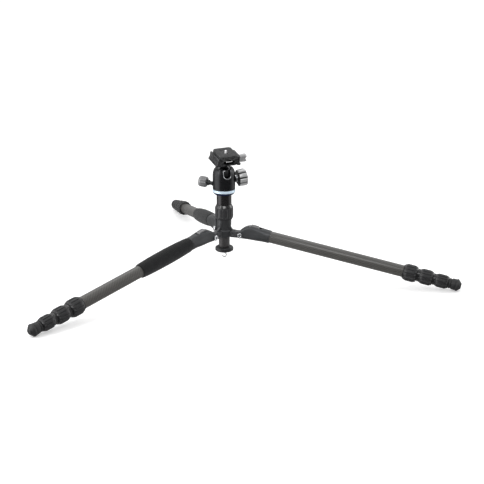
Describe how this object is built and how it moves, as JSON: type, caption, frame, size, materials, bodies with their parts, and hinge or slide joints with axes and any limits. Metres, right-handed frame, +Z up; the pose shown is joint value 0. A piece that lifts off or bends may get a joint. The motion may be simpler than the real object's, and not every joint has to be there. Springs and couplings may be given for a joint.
{
  "type": "camera tripod",
  "caption": "Low carbon tripod with spread telescoping legs, short centre column and a ball head with quick-release clamp and plate.",
  "frame": {"origin": "on the floor, in the middle of the footprint's box", "axes": "+Z up; +Y from the column towards leg 2, the back leg; +X to the right, on leg 1's side"},
  "size_m": [0.9894, 0.8612, 0.3067],
  "materials": {
    "carbon": "woven carbon fibre under satin clear coat",
    "casting": "dark grey satin anodised",
    "black_metal": "black satin anodised",
    "titanium": "titanium-grey anodised, machined",
    "steel": "bright plated steel",
    "ball_metal": "hard anodised, polished",
    "blue_metal": "bright pale-blue anodised",
    "rubber": "moulded, matt",
    "foam": "closed-cell foam, matt",
    "plastic": "moulded bearing plastic"
  },
  "bodies": {
    "root": {"spider": "casting", "column_collet": "plastic", "pivot_bolt_1": "steel", "pivot_bolt_2": "steel", "pivot_bolt_3": "steel"},
    "leg_1": {"shoulder_1": "casting", "upper_tube_1": "carbon"},
    "leg_1_angle_tab": {"angle_tab_1": "titanium"},
    "leg_1_section_2": {"tube_2_1": "carbon"},
    "leg_1_lock_1": {"twist_lock_1_leg_1": "rubber"},
    "leg_1_section_3": {"tube_3_1": "carbon"},
    "leg_1_lock_2": {"twist_lock_2_leg_1": "rubber"},
    "leg_1_section_4": {"tube_4_1": "carbon", "foot_1": "rubber"},
    "leg_1_lock_3": {"twist_lock_3_leg_1": "rubber"},
    "leg_2": {"shoulder_2": "casting", "upper_tube_2": "carbon", "foam_grip_2": "foam"},
    "leg_2_angle_tab": {"angle_tab_2": "titanium"},
    "leg_2_section_2": {"tube_2_2": "carbon"},
    "leg_2_lock_1": {"twist_lock_1_leg_2": "rubber"},
    "leg_2_section_3": {"tube_3_2": "carbon"},
    "leg_2_lock_2": {"twist_lock_2_leg_2": "rubber"},
    "leg_2_section_4": {"tube_4_2": "carbon", "foot_2": "rubber"},
    "leg_2_lock_3": {"twist_lock_3_leg_2": "rubber"},
    "leg_3": {"shoulder_3": "casting", "upper_tube_3": "carbon", "foam_grip_3": "foam"},
    "leg_3_angle_tab": {"angle_tab_3": "titanium"},
    "leg_3_section_2": {"tube_2_3": "carbon"},
    "leg_3_lock_1": {"twist_lock_1_leg_3": "rubber"},
    "leg_3_section_3": {"tube_3_3": "carbon"},
    "leg_3_lock_2": {"twist_lock_2_leg_3": "rubber"},
    "leg_3_section_4": {"tube_4_3": "carbon", "foot_3": "rubber"},
    "leg_3_lock_3": {"twist_lock_3_leg_3": "rubber"},
    "column_lock": {"column_lock": "rubber"},
    "column": {"column_tube": "black_metal", "column_platform": "casting", "column_flange": "black_metal", "base_ring": "blue_metal"},
    "hook": {"hook": "steel"},
    "pan": {"housing": "black_metal", "ball_cup": "plastic"},
    "main_knob": {"main_knob": "titanium", "main_shaft": "steel"},
    "pan_knob": {"pan_knob": "titanium", "pan_shaft": "casting"},
    "ball": {"ball": "ball_metal"},
    "stem": {"ball_stem": "black_metal"},
    "clamp": {"clamp_body": "black_metal"},
    "jaw": {"clamp_jaw": "black_metal"},
    "clamp_knob": {"clamp_knob": "titanium", "clamp_rod": "steel"},
    "safety_pin": {"safety_pin": "black_metal"},
    "plate": {"quick_release_plate": "casting", "plate_pad": "rubber"},
    "camera_screw": {"camera_screw": "steel"},
    "screw_ring": {"screw_ring": "steel"}
  },
  "joints": [
    {"name": "leg_1_fold", "type": "hinge", "parent": "root", "child": "leg_1", "pos_m": [0.03663, -0.15928, 0.0978], "axis": [0.5, 0.866, 0], "range_deg": [0, 79.5]},
    {"name": "leg_1_tab_pull", "type": "slide", "parent": "leg_1", "child": "leg_1_angle_tab", "axis": [0.8517, -0.4917, -0.1814], "range_m": [0, 0.0055], "stiffness_N_per_m": 200, "springref_m": -0.004},
    {"name": "leg_1_extend_2", "type": "slide", "parent": "leg_1", "child": "leg_1_section_2", "axis": [0.8517, -0.4917, -0.1814], "range_m": [0, 0.3]},
    {"name": "leg_1_lock_1_turn", "type": "hinge", "parent": "leg_1", "child": "leg_1_lock_1", "pos_m": [0.03847, -0.16034, 0.1093], "axis": [0.8517, -0.4917, -0.1814], "range_deg": [0, 90]},
    {"name": "leg_1_extend_3", "type": "slide", "parent": "leg_1_section_2", "child": "leg_1_section_3", "axis": [0.8517, -0.4917, -0.1814], "range_m": [0, 0.3]},
    {"name": "leg_1_lock_2_turn", "type": "hinge", "parent": "leg_1_section_2", "child": "leg_1_lock_2", "pos_m": [0.03847, -0.16034, 0.1093], "axis": [0.8517, -0.4917, -0.1814], "range_deg": [0, 90]},
    {"name": "leg_1_extend_4", "type": "slide", "parent": "leg_1_section_3", "child": "leg_1_section_4", "axis": [0.8517, -0.4917, -0.1814], "range_m": [0, 0.3]},
    {"name": "leg_1_lock_3_turn", "type": "hinge", "parent": "leg_1_section_3", "child": "leg_1_lock_3", "pos_m": [0.03847, -0.16034, 0.1093], "axis": [0.8517, -0.4917, -0.1814], "range_deg": [0, 90]},
    {"name": "leg_2_fold", "type": "hinge", "parent": "root", "child": "leg_2", "pos_m": [0, -0.09583, 0.0978], "axis": [-1, 0, 0], "range_deg": [0, 79.5]},
    {"name": "leg_3_fold", "type": "hinge", "parent": "root", "child": "leg_3", "pos_m": [-0.03663, -0.15928, 0.0978], "axis": [0.5, -0.866, 0], "range_deg": [0, 79.5]},
    {"name": "column_lock_turn", "type": "hinge", "parent": "root", "child": "column_lock", "pos_m": [0, -0.13813, 0.0978], "axis": [0, 0, 1], "range_deg": [0, 90]},
    {"name": "column_slide", "type": "slide", "parent": "root", "child": "column", "axis": [0, 0, 1], "range_m": [0, 0.024]},
    {"name": "hook_pull", "type": "slide", "parent": "column", "child": "hook", "axis": [0, 0, -1], "range_m": [0, 0.012], "stiffness_N_per_m": 150, "springref_m": -0.01},
    {"name": "head_pan", "type": "hinge", "parent": "column", "child": "pan", "pos_m": [0, -0.13813, 0.0978], "axis": [0, 0, 1], "continuous": true},
    {"name": "main_knob_turn", "type": "hinge", "parent": "pan", "child": "main_knob", "pos_m": [0.02688, -0.13564, 0.23039], "axis": [0.9903, 0.0919, 0.1045], "range_deg": [0, 180]},
    {"name": "pan_knob_turn", "type": "hinge", "parent": "pan", "child": "pan_knob", "pos_m": [-0.02272, -0.12355, 0.21929], "axis": [-0.8352, 0.5362, 0.1219], "range_deg": [0, 360]},
    {"name": "ball_roll", "type": "hinge", "parent": "pan", "child": "ball", "pos_m": [0, -0.13813, 0.24729], "axis": [-0.0924, 0.9957, 0], "range_deg": [-27, 20]},
    {"name": "ball_tilt", "type": "hinge", "parent": "ball", "child": "stem", "pos_m": [0, -0.13813, 0.24729], "axis": [0.9957, 0.0924, 0], "range_deg": [-39, 76]},
    {"name": "clamp_spin", "type": "hinge", "parent": "stem", "child": "clamp", "pos_m": [0, -0.13813, 0.24729], "axis": [0.0216, -0.2324, 0.9724], "continuous": true},
    {"name": "jaw_slide", "type": "slide", "parent": "clamp", "child": "jaw", "axis": [0.9879, 0.1547, 0.0151], "range_m": [0, 0.0022]},
    {"name": "clamp_knob_turn", "type": "hinge", "parent": "jaw", "child": "clamp_knob", "pos_m": [0.00074, -0.14615, 0.28084], "axis": [0.9879, 0.1547, 0.0151], "range_deg": [0, 634]},
    {"name": "safety_pin_pull", "type": "slide", "parent": "jaw", "child": "safety_pin", "axis": [-0.0216, 0.2324, -0.9724], "range_m": [0, 0.003], "stiffness_N_per_m": 200, "springref_m": -0.003},
    {"name": "plate_slide", "type": "slide", "parent": "clamp", "child": "plate", "axis": [0.1539, -0.9602, -0.233], "range_m": [-0.01, 0.012]},
    {"name": "camera_screw_turn", "type": "hinge", "parent": "plate", "child": "camera_screw", "pos_m": [-0.00003, -0.13778, 0.24584], "axis": [0.0216, -0.2324, 0.9724], "range_deg": [-10, 10]},
    {"name": "screw_ring_fold", "type": "hinge", "parent": "camera_screw", "child": "screw_ring", "pos_m": [0.0015, -0.15153, 0.28633], "axis": [0.9879, 0.1547, 0.0151], "range_deg": [0, 14]},
    {"name": "leg_2_extend_2", "type": "slide", "parent": "leg_2", "child": "leg_2_section_2", "axis": [0, 0.9834, -0.1814], "range_m": [0, 0.3]},
    {"name": "leg_2_extend_3", "type": "slide", "parent": "leg_2_section_2", "child": "leg_2_section_3", "axis": [0, 0.9834, -0.1814], "range_m": [0, 0.3]},
    {"name": "leg_2_extend_4", "type": "slide", "parent": "leg_2_section_3", "child": "leg_2_section_4", "axis": [0, 0.9834, -0.1814], "range_m": [0, 0.3]},
    {"name": "leg_3_extend_2", "type": "slide", "parent": "leg_3", "child": "leg_3_section_2", "axis": [-0.8517, -0.4917, -0.1814], "range_m": [0, 0.3]},
    {"name": "leg_3_extend_3", "type": "slide", "parent": "leg_3_section_2", "child": "leg_3_section_3", "axis": [-0.8517, -0.4917, -0.1814], "range_m": [0, 0.3]},
    {"name": "leg_3_extend_4", "type": "slide", "parent": "leg_3_section_3", "child": "leg_3_section_4", "axis": [-0.8517, -0.4917, -0.1814], "range_m": [0, 0.3]},
    {"name": "leg_2_tab_pull", "type": "slide", "parent": "leg_2", "child": "leg_2_angle_tab", "axis": [0, 0.9834, -0.1814], "range_m": [0, 0.0055], "stiffness_N_per_m": 200, "springref_m": -0.004},
    {"name": "leg_2_lock_1_turn", "type": "hinge", "parent": "leg_2", "child": "leg_2_lock_1", "pos_m": [0, -0.09371, 0.1093], "axis": [0, 0.9834, -0.1814], "range_deg": [0, 90]},
    {"name": "leg_2_lock_2_turn", "type": "hinge", "parent": "leg_2_section_2", "child": "leg_2_lock_2", "pos_m": [0, -0.09371, 0.1093], "axis": [0, 0.9834, -0.1814], "range_deg": [0, 90]},
    {"name": "leg_2_lock_3_turn", "type": "hinge", "parent": "leg_2_section_3", "child": "leg_2_lock_3", "pos_m": [0, -0.09371, 0.1093], "axis": [0, 0.9834, -0.1814], "range_deg": [0, 90]},
    {"name": "leg_3_tab_pull", "type": "slide", "parent": "leg_3", "child": "leg_3_angle_tab", "axis": [-0.8517, -0.4917, -0.1814], "range_m": [0, 0.0055], "stiffness_N_per_m": 200, "springref_m": -0.004},
    {"name": "leg_3_lock_1_turn", "type": "hinge", "parent": "leg_3", "child": "leg_3_lock_1", "pos_m": [-0.03847, -0.16034, 0.1093], "axis": [-0.8517, -0.4917, -0.1814], "range_deg": [0, 90]},
    {"name": "leg_3_lock_2_turn", "type": "hinge", "parent": "leg_3_section_2", "child": "leg_3_lock_2", "pos_m": [-0.03847, -0.16034, 0.1093], "axis": [-0.8517, -0.4917, -0.1814], "range_deg": [0, 90]},
    {"name": "leg_3_lock_3_turn", "type": "hinge", "parent": "leg_3_section_3", "child": "leg_3_lock_3", "pos_m": [-0.03847, -0.16034, 0.1093], "axis": [-0.8517, -0.4917, -0.1814], "range_deg": [0, 90]}
  ],
  "couplings": [
    {"joint": "clamp_knob_turn", "follows": "jaw_slide", "rad_per_m": 5026.5}
  ]
}
